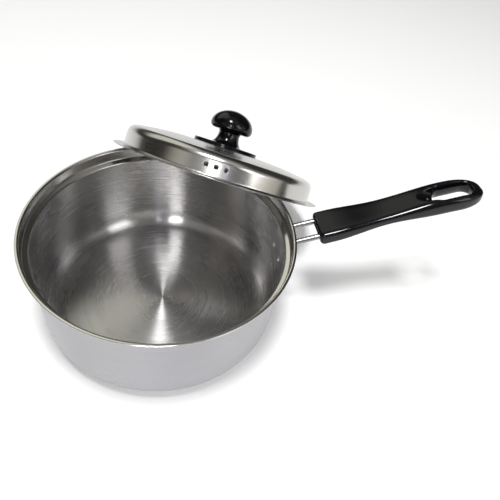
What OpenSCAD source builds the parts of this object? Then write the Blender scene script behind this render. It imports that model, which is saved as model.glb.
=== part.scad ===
// A one-handled saucepan with its lid, in millimetres.
// The origin is the middle of the pan's base, +Z is up and the handle points along +X.
// The lid is stored leaning on the rim behind the handle, with its edge on the table.

/* [Pan] */
// Height of the pan from its base to its rim
pan_h = 93; // [84:1:98]
// Outer radius of the pan's lower wall
pan_r = 101.5; // [96:0.5:107]
// Thickness of the pan's wall
pan_t = 0.9; // [0.8:0.1:1.2]
// Thickness of the pan's floor
floor_t = 1.5; // [1.2:0.1:3]
// Outer radius of the corner between floor and wall
corner_r = 20; // [14:1:26]
// How far the lid's ledge lies below the rim
ledge_drop = 10.5; // [9:0.5:14]
// Width of the lid's ledge
ledge_w = 4.7; // [4.5:0.1:6]
// Width of the turned-out lip
lip_w = 3.2; // [3:0.1:5]

/* [Lid] */
// Gap between the edge of the closed lid and the step round its ledge
lid_gap = 1.2; // [0.8:0.1:2]
// Width of the lid's flange, from its wall to its edge
flange_w = 9.5; // [9:0.1:10.5]
// Height of the lid from the flange's underside to the seat of the knob
lid_h = 25.8; // [24.8:0.2:30]
// Thickness of the lid's sheet
lid_t = 0.7; // [0.6:0.1:1]
// Radius of the lid's shoulder
shoulder_r = 8; // [6:0.5:10]
// Slope of the lid's crown where it meets the shoulder, in degrees
crown_slope = 10; // [8:0.5:11]
// Radius of each steam vent
vent_r = 2; // [1:0.25:3]
// Number of steam vents
vents = 3; // [1:1:5]

/* [Knob] */
// Radius of the knob's foot
foot_r = 32; // [28:0.5:33]
// Radius of the knob's cap
cap_r = 21; // [19:0.5:23]
// Height of the knob from its foot to its top
knob_h = 35.7; // [34.5:0.2:40]
// Radius of the knob's neck
neck_r = 10.4; // [9:0.2:11.4]

/* [Handle] */
// Angle of the handle above level, in degrees
handle_tilt = 17; // [15:0.5:20]
// Diameter of each handle rod
rod_d = 5; // [4:0.5:5]
// Distance between the two rods, centre to centre
rod_gap = 18; // [17:0.5:19]
// Length of the grip
grip_l = 147; // [140:1:160]
// Width of the grip at its front
front_w = 31; // [30:0.5:34]
// Width of the grip at its waist
waist_w = 26; // [24:0.5:28]
// Width of the grip at its tail
tail_w = 28.4; // [27:0.2:32]
// Thickness of the grip at its front
front_h = 13; // [12:0.5:15]
// Thickness of the grip at its waist
waist_h = 9.8; // [9.4:0.2:12]
// Thickness of the grip at its tail
tail_h = 16.8; // [15:0.2:19]
// Length of the hanging slot
slot_l = 33.4; // [28:0.2:36]
// Width of the hanging slot
slot_w = 14; // [11:0.2:14.4]

/* [Rest] */
// How far the lid leans from level, in degrees
lean_tilt = 36.8; // [35.6:0.2:38]
// Compass direction in which the lid slopes down, in degrees from +X
lean_turn = 60; // [55:1:65]
// Distance from the pan's rim out to the lid's edge on the table
lean_gap = 94.7; // [94:0.1:97]

/* [Hidden] */

steel = [0.78, 0.78, 0.80];
polished_steel = [0.84, 0.84, 0.83];
rod_steel = [0.72, 0.72, 0.73];
phenolic = [0.05, 0.05, 0.055];
brass = [0.78, 0.62, 0.30];
zinc = [0.66, 0.67, 0.68];

// Facets round a large and a small circle, a small overlap, and how far a cut runs past its piece
fine = 180;
round_fn = 64;
eps = 0.01;
cut = 1;

// Pan: the ledge's and the lip's bends, measured on the inner face
inner_r = pan_r - pan_t;
ledge_out_r = inner_r + ledge_w;
edge_bend = 1.0 + pan_t;
step_bend = 1.2;
lip_bend = 1.8;
ledge_slope = 14;
lip_out_r = ledge_out_r + lip_w;

// Lid: bends on the outer face, and the vents' height, middle direction, spacing in degrees and depth of cut
lid_r = ledge_out_r - lid_gap;
lid_wall_r = lid_r - flange_w;
boss_r = 33;
wall_taper = 2;
flange_bend = 2;
lid_hole_r = 2.6;
vent_z = 9.7;
vent_turn = -167;
vent_step = 5.3;
vent_cut = 5;

// Knob and its fastening
seat_t = 1.7;
foot_t = 1.7;
flare_z = 2.2;
flare_h = 10.8;
flare_w = 5.9;
neck_bend = 2.2;
lip_r = 4.6;
cap_z = 20.1;
under_z = 15.2;
insert_r = 4;
insert_l = 13;
insert_hole_l = 12;
knob_screw_r = 2.5;
knob_screw_short = 2;
knob_head_r = 4.6;
knob_washer_r = 7.5;
knob_washer_t = 1;

// Handle, in a frame whose +X runs out along the grip from the middle of its front face
rod_r = rod_d / 2;
grip_out = 22.4;
grip_rise = 3;
grip_x = lip_out_r + grip_out;
grip_z = pan_h - ledge_drop + grip_rise;
rod_in = 38;
rod_bend = 8;
foot_drop = 44;
foot_z = pan_h - foot_drop;
foot_bite = 0.5;
rod_end = 0.8;
bend_thin = 0.05;
bend_reach = 0.3;
bridge_l = 10;
bridge_end = 37;
bridge_h = 6;
bridge_side = 1.8;
bridge_half_w = rod_gap / 2 - bridge_side;
channel_gap = 0.2;
wide_s = [10, 60, 112];
thick_s = [12, 55, 108];
arch_s = [15, 75];
boxy_s = [10, 90];
boxy_front = 5;
boxy_tail = 3.8;
arch = 1.5;
tip_l = 29;
tip_drop = 0.8;
front_round = 2.4;
grip_rings = 38;
grip_sides = 28;
edge_rings = 5;
ring_crowd = 0.85;
last_t = 0.994;
slot_end = 10.8;
rim_cut = 3.4;
ramp_slope = 30;
ramp_back = 2;
screw_z = 0.7;
screw_r = 2;
screw_short = 1;
screw_hole_r = 2.2;
head_r = 3.6;
head_h = 2.4;
head_pocket = 6;
grip_washer_r = 3.9;
grip_washer_t = 0.8;
head_steps = 8;
cross_w = 0.9;
cross_l = 4;
cross_d = 1.5;

// Points of an arc about (x, z), from angle a0 to angle a1
function arc(x, z, r, a0, a1, n = 8) =
    [for (i = [0:n]) let (a = a0 + (a1 - a0) * i / n) [x + r * cos(a), z + r * sin(a)]];

// Eases from 0 to 1 while t goes from 0 to 1
function ease(t) = let (u = min(1, max(0, t))) (1 - cos(180 * u)) / 2;

// Eases from a to b while s goes from s0 to s1
function blend(s, s0, s1, a, b) = a + (b - a) * ease((s - s0) / (s1 - s0));

// Length of the straight slope that joins the two bends of the ledge
bends = edge_bend + step_bend;
ledge_run = (ledge_w - bends + bends * sin(ledge_slope)) / cos(ledge_slope);
step_z = pan_h - ledge_drop + step_bend;
edge_z = step_z - ledge_run * sin(ledge_slope) - bends * cos(ledge_slope);

// One face of the pan's wall above its corner, out is 0 on the inner face and pan_t on the outer one
function pan_rise(out) = concat(
    arc(inner_r + edge_bend, edge_z, edge_bend - out, 180, 90 + ledge_slope),
    arc(ledge_out_r - step_bend, step_z, step_bend + out, 270 + ledge_slope, 360),
    arc(ledge_out_r + lip_bend, pan_h - lip_bend, lip_bend - out, 180, 90));

function reversed(p) = [for (i = [len(p) - 1:-1:0]) p[i]];

inner_corner_r = corner_r - floor_t;
pan_inner = concat([[0, floor_t]],
    arc(inner_r - inner_corner_r, corner_r, inner_corner_r, -90, 0, 14), pan_rise(0));
pan_outer = concat([[0, 0]],
    arc(pan_r - corner_r, corner_r, corner_r, -90, 0, 14), pan_rise(pan_t));
lip_edge = arc(lip_out_r - pan_t / 2, pan_h - pan_t / 2, pan_t / 2, 90, -90);

module pan_body() {
    color(steel) rotate_extrude($fn = fine)
        polygon(concat(pan_inner, lip_edge, reversed(pan_outer)));
}

// Moves into the handle's frame
module at_grip() {
    translate([grip_x, 0, grip_z]) rotate([0, -handle_tilt, 0]) children();
}

// The foot stands against the wall, a bend turns it outwards, and the run enters the grip
foot_x = sqrt(pow(pan_r, 2) - pow(rod_gap / 2, 2)) + rod_r - foot_bite;
corner_z = grip_z - (grip_x - foot_x) * tan(handle_tilt);
bend_angle = 90 - handle_tilt;
bend_run = rod_bend * tan(bend_angle / 2);
run_l = (grip_x - foot_x) / cos(handle_tilt) - bend_run + rod_in;
foot_l = corner_z - bend_run - foot_z + bend_reach;

// The bend is a little thinner than the straight lengths, which reach a little into it
module rod(side) {
    color(rod_steel) difference() {
        union() {
            translate([foot_x, side * rod_gap / 2, 0]) {
                translate([0, 0, foot_z]) rotate_extrude($fn = round_fn)
                    polygon([[0, 0], [rod_r - rod_end, 0], [rod_r, rod_end], [rod_r, foot_l], [0, foot_l]]);
                translate([rod_bend, 0, corner_z - bend_run]) rotate([90, 0, 0])
                    rotate([0, 0, 90 + handle_tilt]) rotate_extrude(angle = bend_angle, $fn = fine)
                        translate([rod_bend, 0]) circle(rod_r - bend_thin, $fn = round_fn);
            }
            at_grip() translate([rod_in - run_l - bend_reach, side * rod_gap / 2, 0])
                rotate([0, 90, 0]) cylinder(r = rod_r, h = run_l + bend_reach, $fn = round_fn);
        }
        cylinder(r = pan_r, h = pan_h, $fn = fine);
    }
}

module rod_left() rod(1);
module rod_right() rod(-1);

// Threaded block welded between the ends of the rods
module rod_bridge() {
    color(rod_steel) at_grip() difference() {
        translate([bridge_end - bridge_l, -bridge_half_w, -bridge_h / 2])
            cube([bridge_l, 2 * bridge_half_w, bridge_h]);
        for (side = [-1, 1]) translate([0, side * rod_gap / 2, 0])
            rotate([0, 90, 0]) cylinder(r = rod_r, h = grip_l, $fn = round_fn);
        translate([0, 0, screw_z]) rotate([0, 90, 0]) cylinder(r = screw_r, h = grip_l, $fn = round_fn);
    }
}

// Half width, half thickness and centre height of the grip at distance s from its front
tip_s = grip_l - tip_l;
function tip(s) = max(0, s - tip_s) / tip_l;
function swell(s, at, a, b, c) = s < at[1] ? blend(s, at[0], at[1], a, b) : blend(s, at[1], at[2], b, c);
function grip_w(s) = swell(s, wide_s, front_w, waist_w, tail_w) / 2;
function grip_h(s) = swell(s, thick_s, front_h, waist_h, tail_h) / 2;
function grip_mid(s) = blend(s, arch_s[0], arch_s[1], 0, arch)
    - blend(s, thick_s[2], grip_l, 0, arch + tip_drop);
function boxiness(s) = blend(s, boxy_s[0], boxy_s[1], boxy_front, boxy_tail);

// Distances of the rings: close together around the front edge and towards the tip
function ring_s(i) = i <= edge_rings ? front_round * (1 - cos(90 * i / edge_rings))
    : let (t = (i - edge_rings) / (grip_rings - edge_rings))
      front_round + (grip_l - front_round) * last_t * sin(90 * pow(t, ring_crowd));
function ring_inset(i) = i < edge_rings ? front_round * (1 - sin(90 * i / edge_rings)) : 0;

function signed_pow(v, p) = sign(v) * pow(abs(v), p);
function grip_ring(i) = let (s = ring_s(i), w = (grip_w(s) - ring_inset(i)) * sqrt(1 - pow(tip(s), 2)),
    h = (grip_h(s) - ring_inset(i)) * sqrt(1 - pow(tip(s), 3)), p = 2 / boxiness(s))
    [for (k = [0:grip_sides - 1]) let (a = 360 * (k + 0.5) / grip_sides)
        [s, w * signed_pow(cos(a), p), grip_mid(s) + h * signed_pow(sin(a), p)]];

module grip_skin() {
    points = [for (i = [0:grip_rings]) each grip_ring(i)];
    front = [for (k = [0:grip_sides - 1]) k];
    back = [for (k = [grip_sides - 1:-1:0]) grip_rings * grip_sides + k];
    sides = [for (i = [0:grip_rings - 1], k = [0:grip_sides - 1])
        let (a = i * grip_sides + k, b = i * grip_sides + (k + 1) % grip_sides)
        each [[a, a + grip_sides, b], [b, a + grip_sides, b + grip_sides]]];
    polyhedron(points = points, faces = concat([front], [back], sides));
}

// The hanging slot goes right through, and a ramp leads into its front end from above
slot_r = slot_w / 2;
slot_back = grip_l - slot_end - slot_r;
slot_front = slot_back - slot_l + slot_w;
slot_depth = 4 * tail_h;
slot_top = arch + tail_h / 2 - rim_cut;
slot_low = arch - tip_drop - tail_h / 2 + rim_cut;
flare = 2 * rim_cut;

// The slot's mouth is flared above and below
module grip_slot() {
    for (s = [slot_front, slot_back]) translate([s, 0, 0]) {
        translate([0, 0, -slot_depth / 2]) cylinder(r = slot_r, h = slot_depth, $fn = round_fn);
        translate([0, 0, slot_top]) cylinder(r1 = slot_r, r2 = slot_r + flare, h = flare, $fn = round_fn);
        translate([0, 0, slot_low - flare]) cylinder(r1 = slot_r + flare, r2 = slot_r, h = flare, $fn = round_fn);
    }
    translate([slot_front, -slot_r, -slot_depth / 2]) cube([slot_back - slot_front, slot_w, slot_depth]);
    translate([slot_front, 0, 0]) rotate([90, 0, 90]) linear_extrude(slot_back - slot_front)
        polygon([[-slot_r - flare, slot_low - flare], [slot_r + flare, slot_low - flare],
            [slot_r, slot_low], [slot_r, slot_top], [slot_r + flare, slot_top + flare],
            [-slot_r - flare, slot_top + flare], [-slot_r, slot_top], [-slot_r, slot_low]]);
    translate([slot_front - ramp_back, 0, slot_top]) rotate([0, -90 + ramp_slope, 0])
        cylinder(r = slot_r, h = 2 * tail_w, $fn = round_fn);
}

head_s = slot_front - slot_r - head_pocket;

module handle_grip() {
    color(phenolic) at_grip() difference() {
        grip_skin();
        grip_slot();
        for (side = [-1, 1]) translate([-cut, side * rod_gap / 2, 0])
            rotate([0, 90, 0]) cylinder(r = rod_r, h = rod_in + cut, $fn = round_fn);
        translate([-cut, -bridge_half_w - channel_gap, -bridge_h / 2 - channel_gap])
            cube([bridge_end + cut, 2 * (bridge_half_w + channel_gap), bridge_h + 2 * channel_gap]);
        translate([cut, 0, screw_z]) rotate([0, 90, 0])
            cylinder(r = screw_hole_r, h = slot_front, $fn = round_fn);
        translate([head_s, 0, screw_z]) rotate([0, 90, 0])
            cylinder(r = grip_washer_r + channel_gap, h = head_pocket + slot_r, $fn = round_fn);
    }
}

module grip_washer() {
    color(zinc) at_grip() translate([head_s, 0, screw_z]) rotate([0, 90, 0]) difference() {
        cylinder(r = grip_washer_r, h = grip_washer_t, $fn = round_fn);
        translate([0, 0, -cut]) cylinder(r = screw_hole_r, h = grip_washer_t + 2 * cut, $fn = round_fn);
    }
}

// A pan-head screw whose shank points down from z = 0 and whose head has a cross recess
module screw(r, l, top_r, top_h) {
    difference() {
        union() {
            translate([0, 0, -l]) cylinder(r = r, h = l + eps, $fn = round_fn);
            rotate_extrude($fn = round_fn) polygon(concat([[0, 0], [top_r, 0]],
                [for (i = [1:head_steps - 1]) let (a = 90 * i / head_steps)
                    [top_r * cos(a), top_h * sin(a)]],
                [[0, top_h]]));
        }
        for (turn = [0, 90]) rotate([0, 0, turn]) translate([-cross_l / 2, -cross_w / 2, top_h - cross_d])
            cube([cross_l, cross_w, cross_d + cut]);
    }
}

module grip_screw() {
    seat_s = head_s + grip_washer_t;
    color(zinc) at_grip() translate([seat_s, 0, screw_z]) rotate([0, 90, 0])
        screw(screw_r, seat_s - bridge_end + bridge_l - screw_short, head_r, head_h);
}

// Lid: solves the crown's radius and the wall's length so that crown, shoulder, wall and flange meet smoothly
wall_foot = [lid_wall_r + flange_bend * (1 - cos(wall_taper)), lid_t + flange_bend * (1 - sin(wall_taper))];
flow_r = wall_foot[0] - shoulder_r * cos(wall_taper) - boss_r + shoulder_r * sin(crown_slope);
flow_z = lid_h - shoulder_r * cos(crown_slope) - wall_foot[1] + shoulder_r * sin(wall_taper);
flow = sin(wall_taper) * (1 - cos(crown_slope)) - cos(wall_taper) * sin(crown_slope);
crown_r = (flow_z * sin(wall_taper) - flow_r * cos(wall_taper)) / flow;
shoulder_x = boss_r + (crown_r - shoulder_r) * sin(crown_slope);
shoulder_z = lid_h - crown_r + (crown_r - shoulder_r) * cos(crown_slope);

// One face of the lid, in is 0 on the outer face and lid_t on the inner one
function lid_face(in) = concat([[0, lid_h - in]],
    arc(boss_r, lid_h - crown_r, crown_r - in, 90, 90 - crown_slope, 8),
    arc(shoulder_x, shoulder_z, shoulder_r - in, 90 - crown_slope, wall_taper, 10),
    arc(lid_wall_r + flange_bend, lid_t + flange_bend, flange_bend + in, 180 + wall_taper, 270, 8));
flange_edge = arc(lid_r - lid_t / 2, lid_t / 2, lid_t / 2, 90, -90, 8);

// Moves into the lid's frame, with the flange's underside at z = 0
lean_r = lip_out_r + lean_gap - lid_r * cos(lean_tilt);
module at_lid() {
    translate([lean_r * cos(lean_turn), lean_r * sin(lean_turn), lid_r * sin(lean_tilt)])
        rotate([0, lean_tilt, lean_turn]) children();
}

module lid_shell() {
    color(polished_steel) at_lid() difference() {
        rotate_extrude($fn = fine) polygon(concat(lid_face(0), flange_edge, reversed(lid_face(lid_t))));
        cylinder(r = lid_hole_r, h = lid_h + cut, $fn = round_fn);
        for (i = [0:vents - 1]) rotate([0, 0, vent_turn + vent_step * (i - (vents - 1) / 2)])
            translate([lid_wall_r - vent_cut, 0, vent_z]) rotate([0, 90, 0])
                cylinder(r = vent_r, h = 2 * vent_cut, $fn = round_fn);
    }
}

module knob_seat() {
    color(phenolic) at_lid() translate([0, 0, lid_h]) rotate_extrude($fn = fine)
        polygon(concat([[lid_hole_r, 0]],
            arc(foot_r - seat_t / 2, seat_t / 2, seat_t / 2, -90, 90), [[lid_hole_r, seat_t]]));
}

// The knob's outline: foot, flare, neck, underside, lip and dome
flare_steps = 10;
lip_steps = 6;
dome_steps = 16;
module knob_outline() {
    polygon(concat([[0, 0]],
        arc(foot_r - foot_t / 2, foot_t / 2, foot_t / 2, -90, 90, 6),
        [for (i = [0:flare_steps]) let (a = 90 * i / flare_steps)
            [neck_r + flare_w * (1 - sin(a)), flare_z + flare_h * (1 - cos(a))]],
        arc(neck_r + neck_bend, under_z - neck_bend, neck_bend, 180, 90, 5),
        [for (i = [0:lip_steps]) let (a = 90 * i / lip_steps)
            [cap_r - lip_r + lip_r * sin(a), cap_z - (cap_z - under_z) * cos(a)]],
        [for (i = [1:dome_steps]) let (a = 90 * i / dome_steps)
            [cap_r * cos(a), cap_z + (knob_h - cap_z) * sin(a)]]));
}

module knob() {
    color(phenolic) at_lid() translate([0, 0, lid_h + seat_t]) difference() {
        rotate_extrude($fn = fine) knob_outline();
        translate([0, 0, -cut]) cylinder(r = insert_r, h = insert_l + cut, $fn = round_fn);
    }
}

module knob_insert() {
    color(brass) at_lid() translate([0, 0, lid_h + seat_t]) difference() {
        cylinder(r = insert_r, h = insert_l, $fn = round_fn);
        translate([0, 0, -cut]) cylinder(r = knob_screw_r, h = insert_hole_l + cut, $fn = round_fn);
    }
}

module knob_washer() {
    color(zinc) at_lid() translate([0, 0, lid_h - lid_t - knob_washer_t]) difference() {
        cylinder(r = knob_washer_r, h = knob_washer_t, $fn = round_fn);
        translate([0, 0, -cut]) cylinder(r = lid_hole_r, h = knob_washer_t + 2 * cut, $fn = round_fn);
    }
}

module knob_screw() {
    under = lid_h - lid_t - knob_washer_t;
    shank = lid_t + knob_washer_t + seat_t + insert_hole_l - knob_screw_short;
    color(zinc) at_lid() translate([0, 0, under]) mirror([0, 0, 1])
        screw(knob_screw_r, shank, knob_head_r, head_h);
}

pan_body();
rod_left();
rod_right();
rod_bridge();
handle_grip();
grip_washer();
grip_screw();
lid_shell();
knob_seat();
knob();
knob_insert();
knob_washer();
knob_screw();
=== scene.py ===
import math

import bpy
import numpy as np
from mathutils import Matrix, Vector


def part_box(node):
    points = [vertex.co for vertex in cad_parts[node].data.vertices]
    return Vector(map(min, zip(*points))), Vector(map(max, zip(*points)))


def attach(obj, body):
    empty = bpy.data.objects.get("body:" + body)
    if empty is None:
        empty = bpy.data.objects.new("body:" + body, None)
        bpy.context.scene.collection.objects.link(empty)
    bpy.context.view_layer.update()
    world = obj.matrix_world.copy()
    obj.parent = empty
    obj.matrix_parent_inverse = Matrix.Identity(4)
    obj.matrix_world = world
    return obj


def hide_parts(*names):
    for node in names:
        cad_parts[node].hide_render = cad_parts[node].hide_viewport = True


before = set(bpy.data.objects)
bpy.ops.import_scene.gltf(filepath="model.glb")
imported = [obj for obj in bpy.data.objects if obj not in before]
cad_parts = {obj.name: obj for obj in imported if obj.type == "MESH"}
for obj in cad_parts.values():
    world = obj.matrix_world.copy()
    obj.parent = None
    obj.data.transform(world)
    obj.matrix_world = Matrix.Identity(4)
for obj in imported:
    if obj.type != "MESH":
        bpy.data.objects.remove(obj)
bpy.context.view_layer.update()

MM = 0.001

# ---------------------------------------------------------------- sizes, the same as the model's
pan_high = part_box("pan_body")[1]
pan_h = pan_high[2]
lip_out_r = pan_high[0]
pan_t = 0.9 * MM
floor_t = 1.5 * MM
corner_r = 20 * MM
lip_w = 3.2 * MM
ledge_w = 4.7 * MM
ledge_drop = 10.5 * MM
ledge_out_r = lip_out_r - lip_w
inner_r = ledge_out_r - ledge_w
pan_r = inner_r + pan_t

lid_r = 104.1 * MM
lid_wall_r = 94.6 * MM
lid_h = 25.8 * MM
lid_t = 0.7 * MM
shoulder_r = 8 * MM
boss_r = 33 * MM
lid_hole_r = 2.6 * MM
lean_tilt = math.radians(36.8)
lean_turn = math.radians(60)
lean_reach = 203.2 * MM

vent_z = 9.7 * MM
vent_r = 2 * MM
vent_turn = math.radians(-167)
vent_step = math.radians(5.3)

foot_r = 32 * MM
seat_t = 1.7 * MM
cap_r = 21 * MM
cap_z = 20.1 * MM
knob_h = 35.7 * MM
neck_r = 10.4 * MM

grip_tilt = math.radians(17)
grip_face = np.array([130.9, 0, 85.5]) * MM
rod_r = 2.5 * MM
rod_side = 9 * MM


# ---------------------------------------------------------------- surfaces
def arc(x, z, r, start, end, n):
    """Points x + r cos a, z + r sin a, with a going evenly from start to end, in degrees."""
    a = np.radians(np.linspace(start, end, n + 1))
    return np.stack([x + r * np.cos(a), z + r * np.sin(a)], axis=1)


def run(p, q, n):
    """Points evenly spaced on the straight line from p to q, without its two ends."""
    t = np.linspace(0, 1, n + 2)[1:-1, None]
    return np.asarray(p) * (1 - t) + np.asarray(q) * t


def grid_faces(rows, cols, wrap_rows=False):
    """The four corners of each cell of a grid that is stored row by row. Its columns close on
    themselves, and its rows may."""
    i = np.arange(rows if wrap_rows else rows - 1)[:, None]
    j = np.arange(cols)[None, :]
    i2, j2 = (i + 1) % rows, (j + 1) % cols
    return np.stack([i * cols + j, i2 * cols + j, i2 * cols + j2, i * cols + j2], axis=-1).reshape(-1, 4)


def volume(points, faces):
    """Signed volume inside a closed mesh: a sixth of the sum of a . (b x c) over its triangles."""
    p = points[faces]
    total = np.einsum("ij,ij->i", p[:, 0], np.cross(p[:, 1], p[:, 2])).sum()
    return (total + np.einsum("ij,ij->i", p[:, 0], np.cross(p[:, 2], p[:, 3])).sum()) / 6


def piece(name, body, points, quads, caps=(), mats=(), mat_of=None, replaces=(), normals=None):
    """A mesh object from points, quads and triangle caps, turned so that its faces point outwards."""
    quads = np.asarray(quads)
    caps = np.asarray(caps, dtype=int).reshape(-1, 3)
    test = np.concatenate([quads, np.column_stack([caps, caps[:, 2]])])
    if volume(points, test) < 0:
        quads, caps = quads[:, ::-1], caps[:, ::-1]
    mesh = bpy.data.meshes.new(name)
    mesh.from_pydata(points.tolist(), [], quads.tolist() + caps.tolist())
    mesh.polygons.foreach_set("use_smooth", np.ones(len(mesh.polygons), dtype=bool))
    for mat in mats:
        mesh.materials.append(mat)
    if mat_of is not None:
        mesh.polygons.foreach_set("material_index", np.asarray(mat_of, dtype=np.int32))
    mesh.update()
    if normals is not None:
        mesh.normals_split_custom_set_from_vertices(normals.tolist())
    obj = bpy.data.objects.new(name, mesh)
    bpy.context.scene.collection.objects.link(obj)
    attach(obj, body)
    if replaces:
        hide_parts(*replaces)
    return obj


def end_caps(rows, cols):
    """Fans that close a grid's first and last rows onto two more points stored after the grid."""
    j = np.arange(cols)
    last = (rows - 1) * cols
    return np.concatenate([
        np.column_stack([0 * j + rows * cols, j, (j + 1) % cols]),
        np.column_stack([0 * j + rows * cols + 1, last + (j + 1) % cols, last + j])])


def spin(profile, turns):
    """Each profile point (r, z) carried round the axis: r cos a, r sin a, z for every angle a."""
    r, z = profile[:, 0][:, None], profile[:, 1][:, None]
    return np.stack([r * np.cos(turns), r * np.sin(turns), z + 0 * turns], axis=-1)


def at_lid(points):
    """Tilts points about Y by the lean, turns them about Z and moves them to the lid's place."""
    reach = lean_reach - lid_r * math.cos(lean_tilt)
    x, y, z = np.moveaxis(points, -1, 0)
    c, s = math.cos(lean_tilt), math.sin(lean_tilt)
    x, z = x * c + z * s, z * c - x * s
    c, s = math.cos(lean_turn), math.sin(lean_turn)
    x, y = x * c - y * s + reach * c, x * s + y * c + reach * s
    return np.stack([x, y, z + lid_r * math.sin(lean_tilt)], axis=-1)


def at_grip(points):
    """Lifts points by the handle's angle about Y and moves them to the grip's front face."""
    x, y, z = np.moveaxis(points, -1, 0)
    c, s = math.cos(grip_tilt), math.sin(grip_tilt)
    return np.stack([x * c - z * s, y, x * s + z * c], axis=-1) + grip_face


# ---------------------------------------------------------------- materials
def wire(tree, kind, inputs=(), **settings):
    """Adds a node, sets its settings, and feeds each input from a number, a colour or a socket."""
    made = tree.nodes.new(kind)
    for key, value in settings.items():
        setattr(made, key, value)
    for key, value in dict(inputs).items():
        if isinstance(value, bpy.types.NodeSocket):
            tree.links.new(value, made.inputs[key])
        else:
            made.inputs[key].default_value = value
    return made


def blank(name):
    """A new material's node tree, with its Principled shader."""
    mat = bpy.data.materials.new(name)
    mat.use_nodes = True
    return mat, mat.node_tree, mat.node_tree.nodes["Principled BSDF"]


def math_node(tree, how, a, b=0.0):
    """One sum, product or other operation on a and b."""
    return wire(tree, "ShaderNodeMath", {0: a, 1: b}, operation=how).outputs[0]


def spread(tree, value, low, high):
    """Maps a value that runs from 0.3 to 0.7, as noise does, to run from low to high."""
    ranged = wire(tree, "ShaderNodeMapRange", {0: value, 1: 0.3, 2: 0.7, 3: low, 4: high})
    return ranged.outputs[0]


def round_axis(tree):
    """Where a point lies round its piece's axis: its place, unit direction, distance out and height."""
    place = wire(tree, "ShaderNodeTexCoord").outputs["Object"]
    flat = wire(tree, "ShaderNodeVectorMath", {0: place, 1: (1, 1, 0)}, operation="MULTIPLY").outputs[0]
    out = wire(tree, "ShaderNodeVectorMath", {0: flat}, operation="LENGTH").outputs["Value"]
    aim = wire(tree, "ShaderNodeVectorMath", {0: flat}, operation="NORMALIZE").outputs[0]
    height = wire(tree, "ShaderNodeSeparateXYZ", {0: place}).outputs[2]
    return place, aim, out, height


def ring_noise(tree, aim, along, round_scale, along_scale, detail):
    """Noise drawn out round the axis: slow with direction, quick across the rings."""
    slow = wire(tree, "ShaderNodeVectorMath", {0: aim, 3: round_scale}, operation="SCALE").outputs[0]
    rings = math_node(tree, "MULTIPLY", along, along_scale)
    quick = wire(tree, "ShaderNodeCombineXYZ", {2: rings}).outputs[0]
    where = wire(tree, "ShaderNodeVectorMath", {0: slow, 1: quick}, operation="ADD").outputs[0]
    noise = {"Vector": where, "Scale": 1.0, "Detail": detail}
    return wire(tree, "ShaderNodeTexNoise", noise).outputs["Fac"]


def two_shades(tree, shader, noise, colour, darker):
    """Base colour that wanders with a noise between the colour and a darker shade of it."""
    dark = tuple(c * darker for c in colour) + (1,)
    shade = wire(tree, "ShaderNodeMix", {0: spread(tree, noise, 0, 1), 6: dark, 7: colour + (1,)},
                 data_type="RGBA")
    tree.links.new(shade.outputs[2], shader.inputs["Base Color"])


def brushed(name, colour, rough, anisotropy, line_depth):
    """Steel spun and brushed round its axis: fine rings in bump, roughness and shade."""
    mat, tree, shader = blank(name)
    place, aim, out, height = round_axis(tree)
    along = math_node(tree, "ADD", out, height)
    fine = ring_noise(tree, aim, along, 1.2, 1800.0, 1.5)
    bands = ring_noise(tree, aim, along, 0.6, 260.0, 1.5)
    cloud = wire(tree, "ShaderNodeTexNoise", {"Vector": place, "Scale": 22.0, "Detail": 3.0}).outputs["Fac"]
    mixed = math_node(tree, "ADD", math_node(tree, "MULTIPLY", fine, 0.5),
                      math_node(tree, "MULTIPLY", bands, 0.5))
    roughness = math_node(tree, "ADD", spread(tree, mixed, rough * 0.88, rough * 1.12),
                          spread(tree, cloud, -0.03, 0.03))
    tree.links.new(roughness, shader.inputs["Roughness"])
    two_shades(tree, shader, mixed, colour, 0.93)
    bump = wire(tree, "ShaderNodeBump", {"Strength": line_depth, "Distance": 0.0001, "Height": fine})
    tree.links.new(bump.outputs[0], shader.inputs["Normal"])
    tangent = wire(tree, "ShaderNodeTangent", direction_type="RADIAL", axis="Z")
    tree.links.new(tangent.outputs[0], shader.inputs["Tangent"])
    shader.inputs["Metallic"].default_value = 1.0
    shader.inputs["Anisotropic"].default_value = anisotropy
    shader.inputs["Anisotropic Rotation"].default_value = 0.25
    return mat


def polished(name, colour, rough, haze):
    """Polished steel: smooth, with a faint haze of polishing marks and fingerprints."""
    mat, tree, shader = blank(name)
    place = wire(tree, "ShaderNodeTexCoord").outputs["Object"]
    fine = {"Vector": place, "Scale": 900.0, "Detail": 5.0}
    broad = {"Vector": place, "Scale": 35.0, "Detail": 4.0, "Distortion": 0.6}
    marks = wire(tree, "ShaderNodeTexNoise", fine).outputs["Fac"]
    smears = wire(tree, "ShaderNodeTexNoise", broad).outputs["Fac"]
    roughness = math_node(tree, "ADD", spread(tree, smears, rough, rough + haze),
                          spread(tree, marks, 0, haze))
    tree.links.new(roughness, shader.inputs["Roughness"])
    two_shades(tree, shader, smears, colour, 0.94)
    shader.inputs["Metallic"].default_value = 1.0
    return mat


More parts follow.
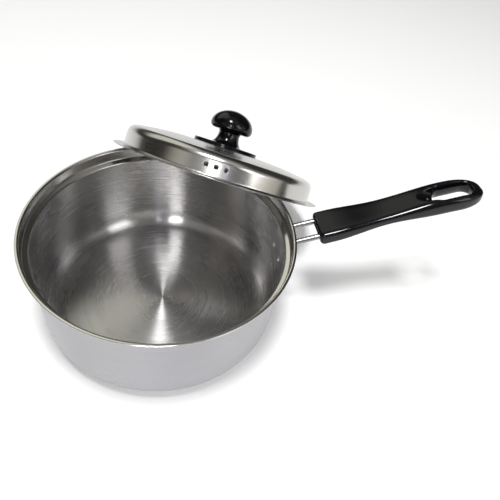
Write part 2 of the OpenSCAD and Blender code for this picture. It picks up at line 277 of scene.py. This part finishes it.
def phenolic(name):
    """Black moulded phenolic resin: glossy, with faint swirls in its gloss and a trace of orange peel."""
    mat, tree, shader = blank(name)
    place = wire(tree, "ShaderNodeTexCoord").outputs["Object"]
    swirl = wire(tree, "ShaderNodeTexNoise", {"Vector": place, "Scale": 60.0, "Detail": 5.0,
                                              "Distortion": 1.2}).outputs["Fac"]
    peel = wire(tree, "ShaderNodeTexNoise", {"Vector": place, "Scale": 700.0, "Detail": 2.0}).outputs["Fac"]
    tree.links.new(spread(tree, swirl, 0.05, 0.10), shader.inputs["Roughness"])
    shade = wire(tree, "ShaderNodeMix", {0: spread(tree, swirl, 0, 1), 6: (0.002, 0.002, 0.003, 1),
                                         7: (0.004, 0.004, 0.006, 1)}, data_type="RGBA")
    tree.links.new(shade.outputs[2], shader.inputs["Base Color"])
    bump = wire(tree, "ShaderNodeBump", {"Strength": 0.04, "Distance": 0.0002, "Height": peel})
    tree.links.new(bump.outputs[0], shader.inputs["Normal"])
    shader.inputs["IOR"].default_value = 1.55
    shader.inputs["Specular IOR Level"].default_value = 0.28
    return mat


inside_steel = brushed("brushed inside", (0.56, 0.55, 0.548), 0.26, 0.95, 0.003)
outside_steel = brushed("satin outside", (0.44, 0.436, 0.455), 0.30, 0.85, 0.003)
rim_steel = brushed("bright rim", (0.66, 0.65, 0.63), 0.15, 0.35, 0.03)
lid_steel = polished("polished lid", (0.56, 0.552, 0.535), 0.18, 0.03)
# The flange's steel is darker than the lid's own: a painted shade on the rolled edge.
shaded_flange_steel = polished("satin flange painted dark", (0.38, 0.375, 0.365), 0.20, 0.06)
crown_steel = polished("satin crown", (0.58, 0.575, 0.56), 0.20, 0.06)
# The wire's steel is given a dark colour: a painted shade standing in for the darker room it reflects.
dark_painted_rod_steel = polished("bright wire painted dark", (0.30, 0.298, 0.295), 0.14, 0.06)
# Near-white steel for the weld marks: a painted highlight, lighter than the pan's own steel.
weld_highlight_steel = polished("weld painted highlight", (0.92, 0.91, 0.90), 0.16, 0.06)
zinc = polished("zinc plate", (0.56, 0.57, 0.58), 0.24, 0.10)
brass = polished("turned brass", (0.72, 0.52, 0.22), 0.22, 0.08)
black = phenolic("black phenolic")


# ---------------------------------------------------------------- pan
def pan_wall(out, n):
    """One face of the pan's wall from its corner to its lip: arcs and straight runs, out from the
    inner face."""
    slope, edge, step, lip = 14, 1.0 * MM + pan_t, 1.2 * MM, 1.8 * MM
    bends = edge + step
    length = (ledge_w - bends + bends * math.sin(math.radians(slope))) / math.cos(math.radians(slope))
    step_z = pan_h - ledge_drop + step
    edge_z = step_z - length * math.sin(math.radians(slope)) - bends * math.cos(math.radians(slope))
    first = arc(inner_r + edge, edge_z, edge - out, 180, 90 + slope, 7)
    second = arc(ledge_out_r - step, step_z, step + out, 270 + slope, 360, 6)
    third = arc(ledge_out_r + lip, pan_h - lip, lip - out, 180, 90, 7)
    wall_foot = [inner_r + out, corner_r]
    return np.concatenate([run(wall_foot, first[0], n), first, second, third])


weld_z, weld_w, weld_h, weld_rise = 57 * MM, 1.4 * MM, 2.2 * MM, 1.8 * MM
weld_highlight_edge = 0.06
rim_rows_in, rim_rows_out = 23, 13
INSIDE, RIM, OUTSIDE, WELD_HIGHLIGHT = 0, 1, 2, 3


def make_pan():
    """The pan's section carried round its axis, with the two weld marks of the rods raised
    on its inner wall: their height falls off as exp(-(y / width)^2 - (z / height)^2)."""
    floor_in = corner_r - floor_t
    inner = np.concatenate([run([0, floor_t], [inner_r - floor_in, floor_t], 14),
                            arc(inner_r - floor_in, corner_r, floor_in, -90, 0, 16), pan_wall(0, 80)])
    outer = np.concatenate([run([0, 0], [pan_r - corner_r, 0], 14),
                            arc(pan_r - corner_r, corner_r, corner_r, -90, 0, 16), pan_wall(pan_t, 40)])
    edge = arc(lip_out_r - pan_t / 2, pan_h - pan_t / 2, pan_t / 2, 90, -90, 6)
    profile = np.concatenate([inner, edge, outer[::-1]])
    near = np.radians(np.linspace(-9, 9, 61))
    turns = np.concatenate([near, np.radians(np.linspace(9, 351, 287))[1:-1]])
    points = spin(profile, turns)
    x, y, z = np.moveaxis(points, -1, 0)
    lobe = sum(np.exp(-((y - side * rod_side) / weld_w) ** 2 - ((z - weld_z) / weld_h) ** 2)
               for side in (-1, 1))
    on_wall = (x > 0) & (np.abs(np.hypot(x, y) - inner_r) < pan_t / 3)
    mark = np.where(on_wall, lobe, 0)
    points[..., 0] -= weld_rise * mark
    rows, cols = points.shape[:2]
    quads = grid_faces(rows, cols)
    points = np.concatenate([points.reshape(-1, 3), [[0, 0, floor_t], [0, 0, 0]]])
    caps = end_caps(rows, cols)
    row = np.arange(rows - 1)
    bright = (row >= len(inner) - rim_rows_in) & (row < len(inner) + rim_rows_out)
    zone = np.where(bright, RIM, np.where(row < len(inner), INSIDE, OUTSIDE))
    # Faces raised on the weld marks take the near-white steel, a painted highlight.
    zone = np.where(mark[:-1] > weld_highlight_edge, WELD_HIGHLIGHT, zone[:, None])
    mat_of = np.concatenate([zone.reshape(-1), np.full(cols, INSIDE), np.full(cols, OUTSIDE)])
    return piece("pan_bowl", "pan", points, quads, caps,
                 (inside_steel, rim_steel, outside_steel, weld_highlight_steel), mat_of, ("pan_body",))


make_pan()


# ---------------------------------------------------------------- rods
foot_z, foot_top_z, foot_sink = 48.9 * MM, 76 * MM, 0.5 * MM
rod_bend, rod_reach = 8 * MM, 37.9 * MM


def make_rod(name, side, node):
    """A round wire: its circle is carried up the wall, round a bend and out into the grip. Its foot is
    pressed flat against the wall, where no point may lie nearer the axis than the wall does."""
    foot_x = math.sqrt(pan_r ** 2 - rod_side ** 2) + rod_r - foot_sink
    corner_z = grip_face[2] - (grip_face[0] - foot_x) * math.tan(grip_tilt)
    reach = rod_bend * math.tan((math.pi / 2 - grip_tilt) / 2)
    up = run([foot_x, foot_z], [foot_x, corner_z - reach], 30)
    around = arc(foot_x + rod_bend, corner_z - reach, rod_bend, 180, 90 + math.degrees(grip_tilt), 24)
    along_grip = np.array([math.cos(grip_tilt), math.sin(grip_tilt)])
    end = np.array([grip_face[0], grip_face[2]]) + rod_reach * along_grip
    path = np.concatenate([up, around, run(around[-1], end, 30)])
    ahead = np.gradient(path, axis=0)
    ahead /= np.linalg.norm(ahead, axis=1)[:, None]
    ring = np.radians(np.arange(0, 360, 7.5))
    swell = np.ones(len(path))
    swell[:4] = [0.62, 0.84, 0.95, 1.0]
    swell[-3:] = [0.97, 0.9, 0.75]
    out = rod_r * swell[:, None] * np.cos(ring)
    x = path[:, 0][:, None] - ahead[:, 1][:, None] * out
    z = path[:, 1][:, None] + ahead[:, 0][:, None] * out
    y = side * rod_side + rod_r * swell[:, None] * np.sin(ring)
    touch = np.sqrt(np.maximum((pan_r + 0.02 * MM) ** 2 - y ** 2, 0))
    x = np.where(z < foot_top_z, np.maximum(x, touch), x)
    points = np.stack([x, y, z], axis=-1)
    rows, cols = points.shape[:2]
    ends = np.array([points[0].mean(axis=0), points[-1].mean(axis=0)])
    return piece(name, "pan", np.concatenate([points.reshape(-1, 3), ends]), grid_faces(rows, cols),
                 end_caps(rows, cols), (dark_painted_rod_steel,), None, (node,))


make_rod("wire_left", 1, "rod_left")
make_rod("wire_right", -1, "rod_right")


# ---------------------------------------------------------------- grip
# The grip's own frame has s along it from its front face, y across and z up, all in millimetres.
front_w, waist_w, tail_w = 31, 26, 28.4
front_h, waist_h, tail_h = 13, 9.8, 16.8
front_boxy, tail_boxy = 5, 3.8
back_rise, tail_drop = 1.5, 2.3
tip_s, tip_l, tip_round = 118, 28.1, 2.4
slot_front, slot_back, slot_r, slot_mid_z = 109.8, 129.2, 7, 0.8
flare_reach, flare_most, flare_out = 8.7, 0.94, 4.2
ramp_s, ramp_z, ramp_slant = 107.8, 6.5, math.radians(30)
bore_y, bore_r, bore_l = rod_side / MM, rod_r / MM, 37.5
pocket_w, pocket_h = 7.4, 3.2


def ease(t):
    """Half a cosine wave, from 0 at t = 0 to 1 at t = 1, level at both ends."""
    t = np.clip(t, 0, 1)
    return (1 - np.cos(np.pi * t)) / 2


def blend(s, s0, s1, a, b):
    """A value that eases from a at s0 to b at s1."""
    return a + (b - a) * ease((s - s0) / (s1 - s0))


def soft_max(a, b, r):
    """The larger of a and b, rounded over a width r where they cross."""
    h = np.maximum(r - np.abs(a - b), 0) / r
    return np.maximum(a, b) + h * h * r / 4


def slope_of(field, p, step=0.02):
    """Gradient of a field by central differences."""
    shift = np.eye(3) * step
    return np.stack([(field(p + d) - field(p - d)) / (2 * step) for d in shift], axis=-1)


def grip_bar(p):
    """A bar whose section is a rounded box, |y/w|^n + |z/h|^n = 1, wide at both ends and slim at its
    waist, and whose tail closes as a rounded end. Each blend starts and ends at its first two places
    along the grip."""
    s, y, z = p.T
    w = np.where(s < 60, blend(s, 10, 60, front_w, waist_w), blend(s, 60, 112, waist_w, tail_w)) / 2
    h = np.where(s < 55, blend(s, 12, 55, front_h, waist_h), blend(s, 55, 108, waist_h, tail_h)) / 2
    mid = blend(s, 15, 75, 0, back_rise) - blend(s, 108, 147, 0, tail_drop)
    n = blend(s, 10, 90, front_boxy, tail_boxy)
    tip = np.maximum(0, s - tip_s) / tip_l
    ring = (np.abs(y / w) ** n + np.abs((z - mid) / h) ** n) ** (1 / n)
    return (ring ** tip_round + tip ** tip_round) ** (1 / tip_round) - 1


def grip_slot(s, y, z):
    """The hanging slot: a stadium that widens like an hourglass, along a quarter of an ellipse, both
    above and below its middle."""
    off = np.hypot(s - np.clip(s, slot_front, slot_back), y)
    reach = np.clip(np.abs(z - slot_mid_z) / flare_reach, 0, flare_most)
    return (off - slot_r - flare_out * (1 - np.sqrt(1 - reach ** 2))) / (1 + reach ** 4)


def grip_ramp(s, y, z):
    """A round-bottomed trough that slopes down into the slot from the front."""
    c, d = math.cos(ramp_slant), math.sin(ramp_slant)
    ahead = (z - ramp_z) * d - (s - ramp_s) * c
    across = (s - ramp_s) * d + (z - ramp_z) * c
    return np.maximum(np.hypot(across, y) - slot_r, -ahead)


def grip_field(p):
    """Signed distance, near enough, to the grip: the bar, cut square at the front with a round edge,
    less the hanging slot, the ramp into it, the rods' bores and the pocket between them."""
    s, y, z = p.T
    bar = grip_bar(p) / np.maximum(np.linalg.norm(slope_of(grip_bar, p), axis=-1), 0.02)
    solid = soft_max(bar, -s, 4.0)
    solid = soft_max(solid, -grip_slot(s, y, z), 1.6)
    solid = soft_max(solid, -grip_ramp(s, y, z), 1.4)
    bores = np.minimum(np.hypot(y - bore_y, z), np.hypot(y + bore_y, z)) - bore_r
    pocket = soft_max(np.abs(y) - pocket_w, np.abs(z) - pocket_h, 0.6)
    hollow = np.maximum(np.minimum(bores, pocket), s - bore_l)
    return soft_max(solid, -hollow, 0.7)


def skin(field, low, high, step):
    """Meshes field = 0: each cell that the surface crosses gets one point, the mean of its edges'
    crossings, each crossed edge joins the four cells round it, and Newton steps along the gradient
    then bring the points onto the surface."""
    count = [int(math.ceil((b - a) / step)) + 1 for a, b in zip(low, high)]
    axes = [a + step * np.arange(n) for a, n in zip(low, count)]
    grid = np.stack(np.meshgrid(*axes, indexing="ij"), axis=-1)
    value = field(grid.reshape(-1, 3)).reshape(count)
    inside = value < 0

    def corner(a, o):
        """The values at one corner of every cell."""
        return a[tuple(slice(k, n - 1 + k) for k, n in zip(o, count))]

    offsets = [(i, j, k) for i in (0, 1) for j in (0, 1) for k in (0, 1)]
    total = sum(corner(inside, o).astype(int) for o in offsets)
    active = (total > 0) & (total < 8)
    index = np.full(active.shape, -1)
    index[active] = np.arange(active.sum())
    weight = np.zeros(active.shape)
    place = np.zeros(active.shape + (3,))
    for a in offsets:
        for axis in range(3):
            if a[axis]:
                continue
            b = tuple(1 if k == axis else a[k] for k in range(3))
            fa, fb = corner(value, a), corner(value, b)
            cross = corner(inside, a) != corner(inside, b)
            t = np.where(cross, fa / np.where(cross, fa - fb, 1), 0)
            pa, pb = corner(grid, a), corner(grid, b)
            place += np.where(cross[..., None], pa + t[..., None] * (pb - pa), 0)
            weight += cross
    points = place[active] / weight[active][:, None]
    quads = []
    for axis in range(3):
        p, q = [k for k in range(3) if k != axis]
        first = [slice(None)] * 3
        second = [slice(None)] * 3
        first[axis], second[axis] = slice(None, -1), slice(1, None)
        change = inside[tuple(first)] != inside[tuple(second)]
        at = np.argwhere(change)
        at = at[(at[:, p] > 0) & (at[:, q] > 0) & (at[:, p] < count[p] - 1) & (at[:, q] < count[q] - 1)]
        cells = []
        for dp, dq in ((1, 1), (0, 1), (0, 0), (1, 0)):
            c = at.copy()
            c[:, p] -= dp
            c[:, q] -= dq
            cells.append(index[tuple(c.T)])
        quad = np.stack(cells, axis=-1)
        flip = inside[tuple(at.T)] if axis != 1 else ~inside[tuple(at.T)]
        quads.append(np.where(flip[:, None], quad, quad[:, ::-1]))
    for _ in range(6):
        slope = slope_of(field, points)
        size = np.maximum((slope ** 2).sum(axis=1), 0.05)
        move = field(points) / size
        points = points - np.clip(move, -0.2, 0.2)[:, None] * slope
    slope = slope_of(field, points)
    normals = slope / np.maximum(np.linalg.norm(slope, axis=1), 1e-9)[:, None]
    return points, np.concatenate(quads), normals


def make_grip():
    """The grip's skin, moved from its own frame to its place on the rods."""
    points, quads, normals = skin(grip_field, (-1.5, -17.2, -9.0), (148.5, 17.3, 12.2), 0.61)
    turned = at_grip(normals) - grip_face
    return piece("grip_moulding", "pan", at_grip(points * MM), quads, (), (black,), None,
                 ("handle_grip",), turned)


make_grip()


# ---------------------------------------------------------------- lid
crown_slope, wall_taper = 10, 2
flange_bend = 2 * MM
block, cells, hole_cells = 3 * MM, 12, 2
cols_between, cols_round, flange_rows = 8, 300, 14
DOME, CROWN, FLANGE_SHADE = 0, 1, 2


def lid_section():
    """Crown's radius and shoulder's middle, solved so that crown, shoulder, wall and flange flow
    together at the slopes given above, in degrees."""
    taper, slope, bend = math.radians(wall_taper), math.radians(crown_slope), flange_bend
    foot = (lid_wall_r + bend * (1 - math.cos(taper)), lid_t + bend * (1 - math.sin(taper)))
    a = foot[0] - shoulder_r * math.cos(taper) - boss_r + shoulder_r * math.sin(slope)
    b = lid_h - shoulder_r * math.cos(slope) - foot[1] + shoulder_r * math.sin(taper)
    d = math.sin(taper) * (1 - math.cos(slope)) - math.cos(taper) * math.sin(slope)
    crown = (b * math.sin(taper) - a * math.cos(taper)) / d
    sx = boss_r + (crown - shoulder_r) * math.sin(slope)
    sz = lid_h - crown + (crown - shoulder_r) * math.cos(slope)
    return crown, sx, sz


def lid_face(inward):
    """One face of the lid from the screw's hole to the flange. A square block of the wall round the
    vents has even rows, so that the rows can be bent round each hole."""
    crown, sx, sz = lid_section()
    rim = [lid_hole_r, lid_h - inward]
    top = np.concatenate([[rim], run(rim, [boss_r, lid_h - inward], 8)])
    dome = arc(boss_r, lid_h - crown, crown - inward, 90, 90 - crown_slope, 20)
    turn = arc(sx, sz, shoulder_r - inward, 90 - crown_slope, wall_taper, 22)[1:]
    base = arc(lid_wall_r + flange_bend, lid_t + flange_bend, flange_bend + inward,
               180 + wall_taper, 270, 10)
    start, end = turn[-1], base[0]
    heights = np.linspace(vent_z + block, vent_z - block, cells + 1)[:, None]
    patch = start + (end - start) * (heights - start[1]) / (end[1] - start[1])
    upper = run(start, patch[0], 2)
    lower = run(patch[-1], end, 5)
    crown_rows = len(top) + len(dome)
    first_row = crown_rows + len(turn) + len(upper)
    return np.concatenate([top, dome, turn, upper, patch, lower, base]), first_row, crown_rows


def vent_turns(half):
    """The angles of the grid's columns, even across each vent's block, and each block's first column
    and middle."""
    middles = vent_turn + vent_step * np.array([-1, 0, 1])
    parts, firsts = [], []
    for k, m in enumerate(middles):
        firsts.append(sum(len(p) for p in parts))
        parts.append(np.linspace(m - half, m + half, cells + 1))
        last = k == len(middles) - 1
        stop = middles[0] - half + 2 * math.pi if last else middles[k + 1] - half
        count = cols_round if last else cols_between
        parts.append(np.linspace(m + half, stop, count + 1)[1:-1])
    return np.concatenate(parts), firsts, middles


def make_lid():
    """The lid's section carried round its axis. Round each vent the grid's square rings become circles:
    a point at square distance c from the middle moves to the circle where c is smallest, and stays
    where c is 1. The cells inside the circle are left out and the two faces are joined round it."""
    outer, row0, crown_rows = lid_face(0)
    inner = lid_face(lid_t)[0]
    edge = arc(lid_r - lid_t / 2, lid_t / 2, lid_t / 2, 90, -90, 6)
    profile = np.concatenate([outer, edge, inner[::-1]])
    half = block / lid_wall_r
    turns, firsts, middles = vent_turns(half)
    rows, cols = len(profile), len(turns)
    turn_grid = np.tile(turns, (rows, 1))
    place = np.tile(np.arange(rows, dtype=float)[:, None], (1, cols))
    inner_row0 = rows - 1 - (row0 + cells)
    ring = np.linspace(-1, 1, cells + 1)
    a, b = np.meshgrid(ring, ring, indexing="ij")
    reach = np.maximum(np.maximum(np.abs(a), np.abs(b)), 1e-9)
    angle = np.arctan2(a, b)
    low, high = cells // 2 - hole_cells, cells // 2 + hole_cells
    least = hole_cells / (cells / 2)
    t = np.clip((reach - least) / (1 - least), 0, 1)
    ratio = vent_r / block
    down = (1 - t) * ratio * np.sin(angle) + t * a / reach
    across = (1 - t) * ratio * np.cos(angle) + t * b / reach
    keep = np.ones((rows, cols), bool)
    for first, m in zip(firsts, middles):
        for r0 in (row0, inner_row0):
            rr, cc = slice(r0, r0 + cells + 1), slice(first, first + cells + 1)
            turn_grid[rr, cc] = m + across * half
            place[rr, cc] = r0 + (down + 1) / 2 * cells
            keep[r0 + low:r0 + high, first + low:first + high] = False
    step = np.arange(rows)
    r = np.interp(place, step, profile[:, 0])
    z = np.interp(place, step, profile[:, 1])
    points = np.stack([r * np.cos(turn_grid), r * np.sin(turn_grid), z], axis=-1).reshape(-1, 3)
    side = range(low, high)
    walk = np.array([(low, j) for j in side] + [(i, high) for i in side]
                    + [(high, j + 1) for j in side[::-1]] + [(i + 1, low) for i in side[::-1]])
    rims = []
    for first in firsts:
        out = (row0 + walk[:, 0]) * cols + first + walk[:, 1]
        back = (inner_row0 + cells - walk[:, 0]) * cols + first + walk[:, 1]
        rims.append(np.stack([back, np.roll(back, -1), np.roll(out, -1), out], axis=-1))
    rims = np.concatenate(rims)
    # Rows round the rolled edge take the darker steel, a painted shade.
    flange = np.abs(step - len(outer) - len(edge) / 2) < flange_rows
    zone = np.where(step < crown_rows, CROWN, np.where(flange, FLANGE_SHADE, DOME))
    zone = np.repeat(zone, cols)[keep.reshape(-1)]
    quads = grid_faces(rows, cols, wrap_rows=True)[keep.reshape(-1)]
    return piece("lid_dome", "lid", at_lid(points), np.concatenate([quads, rims]), (),
                 (lid_steel, crown_steel, shaded_flange_steel),
                 np.concatenate([zone, np.full(len(rims), DOME)]), ("lid_shell",))


make_lid()


# ---------------------------------------------------------------- knob
def spun(name, profile, mat, node, pole):
    """A profile carried round the lid's axis. A closed profile makes a ring; one that starts and ends
    on the axis is closed there with fans."""
    turns = np.radians(np.arange(0, 360, 2.0))
    cols = len(turns)
    if pole:
        first, last = profile[0], profile[-1]
        points = spin(profile[1:-1], turns)
        rows = len(points)
        points = np.concatenate([points.reshape(-1, 3), [[0, 0, first[1]], [0, 0, last[1]]]])
        quads, caps = grid_faces(rows, cols), end_caps(rows, cols)
    else:
        points = spin(profile, turns).reshape(-1, 3)
        quads, caps = grid_faces(len(profile), cols, wrap_rows=True), ()
    return piece(name, "lid", at_lid(points), quads, caps, (mat,), None, (node,))


def knob_profile():
    """Foot, concave flare, neck, underside, rounded lip and domed cap of the knob, from axis to axis."""
    base = lid_h + seat_t
    thick, flare_z, flare_h, flare_w = 1.7 * MM, 2.2 * MM, 10.8 * MM, 5.9 * MM
    lip, under, bend = 4.6 * MM, cap_z - 4.9 * MM, 2.2 * MM
    a = np.radians(np.linspace(0, 90, 15))
    flare = np.stack([neck_r + flare_w * (1 - np.sin(a)), flare_z + flare_h * (1 - np.cos(a))], axis=1)
    rim = np.stack([cap_r - lip + lip * np.sin(a), cap_z - (cap_z - under) * np.cos(a)], axis=1)
    b = np.radians(np.linspace(0, 90, 30))[1:-1]
    dome = np.stack([cap_r * np.cos(b), cap_z + (knob_h - cap_z) * np.sin(b)], axis=1)
    edge = arc(foot_r - thick / 2, thick / 2, thick / 2, -90, 90, 8)
    parts = [[[0, 0]], run([0, 0], edge[0], 6), edge, run(edge[-1], flare[0], 6), flare,
             arc(neck_r + bend, under - bend, bend, 180, 90, 8)[1:], rim, dome, [[0, knob_h]]]
    return np.concatenate(parts) + [0, base]


def seat_profile():
    """A flat ring with a rounded outer edge."""
    inner = [[lid_hole_r, lid_h], [lid_hole_r, lid_h + seat_t]]
    edge = arc(foot_r - seat_t / 2, lid_h + seat_t / 2, seat_t / 2, 90, -90, 8)
    return np.concatenate([inner, run(inner[1], edge[0], 6), edge, run(edge[-1], inner[0], 6)])


spun("knob_moulding", knob_profile(), black, "knob", True)
spun("knob_disc", seat_profile(), black, "knob_seat", False)

for node_name, mat in (("rod_bridge", dark_painted_rod_steel), ("grip_washer", zinc), ("grip_screw", zinc),
                       ("knob_washer", zinc), ("knob_screw", zinc), ("knob_insert", brass)):
    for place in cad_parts[node_name].material_slots:
        place.material = mat


# ---------------------------------------------------------------- floor, light and camera
def make_floor():
    """A plain pale square just under the pan, lit a little from within so that its far end stays pale."""
    half, gap = 3.0, 0.2 * MM
    points = np.array([[-half, -half, -gap], [half, -half, -gap], [half, half, -gap], [-half, half, -gap]])
    mesh = bpy.data.meshes.new("floor")
    mesh.from_pydata(points.tolist(), [], [[0, 1, 2, 3]])
    mat, _, shader = blank("pale floor")
    shader.inputs["Base Color"].default_value = (0.94, 0.94, 0.95, 1)
    shader.inputs["Roughness"].default_value = 0.9
    shader.inputs["Emission Color"].default_value = (1, 1, 1, 1)
    shader.inputs["Emission Strength"].default_value = 0.12
    mesh.materials.append(mat)
    obj = bpy.data.objects.new("floor", mesh)
    bpy.context.scene.collection.objects.link(obj)


def aim(place, target, roll=0.0):
    """Matrix of something at place that looks along its own -Z at target, turned by roll."""
    z = np.asarray(place, float) - np.asarray(target, float)
    z /= np.linalg.norm(z)
    x = np.cross([0, 0, 1], z)
    x /= np.linalg.norm(x)
    y = np.cross(z, x)
    x, y = x * math.cos(roll) + y * math.sin(roll), y * math.cos(roll) - x * math.sin(roll)
    m = np.eye(4)
    m[:3, 0], m[:3, 1], m[:3, 2], m[:3, 3] = x, y, z, place
    return Matrix(m.tolist())


def towards(azimuth, elevation, far):
    """Point at distance far from the origin in a compass direction and elevation, both in degrees."""
    a, e = math.radians(azimuth), math.radians(elevation)
    return np.array([math.cos(a) * math.cos(e), math.sin(a) * math.cos(e), math.sin(e)]) * far


def softbox(name, azimuth, elevation, far, size, glow, colour=(1, 1, 1)):
    """A rectangular lamp aimed at the pan, its power set from how bright its face is to look."""
    light = bpy.data.lights.new(name, "AREA")
    light.shape = "RECTANGLE"
    light.size, light.size_y = size
    light.energy = glow * math.pi * size[0] * size[1]
    light.color = colour
    obj = bpy.data.objects.new(name, light)
    obj.matrix_world = aim(towards(azimuth, elevation, far), (0, 0, 0.05))
    bpy.context.scene.collection.objects.link(obj)


make_floor()

# name, azimuth, elevation, distance, width and height, brightness and colour of each lamp
softbox("overhead", -112, 83, 1.9, (0.34, 0.40), 54.0)
softbox("left window", -107, 36, 2.0, (0.32, 1.1), 7.2)
softbox("front window", -48, 36, 2.0, (0.62, 1.0), 2.9)
softbox("front slit", -89, 38, 2.0, (0.05, 1.0), 3.4, (0.80, 0.76, 1.0))
softbox("tube", -76, 58, 2.0, (1.2, 0.02), 3.0)

# middle azimuth, middle elevation, half widths of both, colour and strength of each patch of the room,
# which fades out over the margin; angles are in degrees
PATCHES = (
    (-92, 30, 40, 14, (0.97, 0.97, 0.98), 0.17),
    (-40, 12, 13, 10, (1.0, 0.95, 0.80), 0.55),
    (-158, 27, 7, 6, (1.0, 0.95, 0.82), 0.42),
    (-30, 40, 14, 25, (0.97, 0.96, 1.0), 0.30),
    (116, 42, 20, 16, (0.98, 0.98, 0.86), 0.90),
    (-138, 38, 15, 20, (0.98, 0.96, 0.93), 0.17),
)
MARGIN = 14
ROOM = {0: 0.042, 1: 0.042, 2: 0.036}
CEILING = 0.25


def make_world():
    """A dim room with a bright ceiling and soft patches of light; each patch fades out at its edges."""
    world = bpy.data.worlds.new("studio")
    world.use_nodes = True
    bpy.context.scene.world = world
    tree = world.node_tree
    ahead = wire(tree, "ShaderNodeTexCoord").outputs["Generated"]
    parts = wire(tree, "ShaderNodeSeparateXYZ", {0: ahead}).outputs
    azimuth = math_node(tree, "ARCTAN2", parts[1], parts[0])
    elevation = math_node(tree, "ARCSINE", parts[2])

    def fade(value, middle, half, soft):
        """One within half of the middle angle, and from there down to nothing over a soft margin."""
        apart = math_node(tree, "SUBTRACT", value, math.radians(middle))
        near = wire(tree, "ShaderNodeMath", {0: apart, 1: math.pi, 2: -math.pi}, operation="WRAP").outputs[0]
        off = math_node(tree, "ABSOLUTE", near)
        limits = {0: off, 1: math.radians(half), 2: math.radians(half + soft), 3: 1.0, 4: 0.0}
        return wire(tree, "ShaderNodeMapRange", limits, interpolation_type="SMOOTHSTEP").outputs[0]

    def add(total, colour, amount):
        """The total so far with a colour times an amount added."""
        lit = wire(tree, "ShaderNodeVectorMath", {0: colour, 3: amount}, operation="SCALE").outputs[0]
        return wire(tree, "ShaderNodeVectorMath", {0: total, 1: lit}, operation="ADD").outputs[0]

    total = wire(tree, "ShaderNodeCombineXYZ", ROOM).outputs[0]
    total = add(total, (1, 1, 1), math_node(tree, "MULTIPLY", fade(elevation, 90, 22, 18), CEILING))
    for around, up, wide, tall, colour, strength in PATCHES:
        shape = math_node(tree, "MULTIPLY", fade(azimuth, around, wide, MARGIN),
                          fade(elevation, up, tall, MARGIN))
        total = add(total, colour, math_node(tree, "MULTIPLY", shape, strength))
    tree.links.new(total, tree.nodes["Background"].inputs[0])
    tree.nodes["Background"].inputs[1].default_value = 1.0


make_world()
camera = bpy.data.cameras.new("camera")
camera.sensor_width = 36
camera.lens = 34.40
camera.shift_x = 0.002
camera.clip_start = 0.01
eye = bpy.data.objects.new("camera", camera)
yaw, pitch, roll = math.radians(71.5), math.radians(46.97), math.radians(11.46)
place = np.array([-0.0161, -0.2707, 0.3671])
ahead = np.array([math.cos(yaw) * math.cos(pitch), math.sin(yaw) * math.cos(pitch), -math.sin(pitch)])
eye.matrix_world = aim(place, place + ahead, roll)
bpy.context.scene.collection.objects.link(eye)
bpy.context.scene.camera = eye
bpy.context.scene.view_settings.view_transform = "Standard"
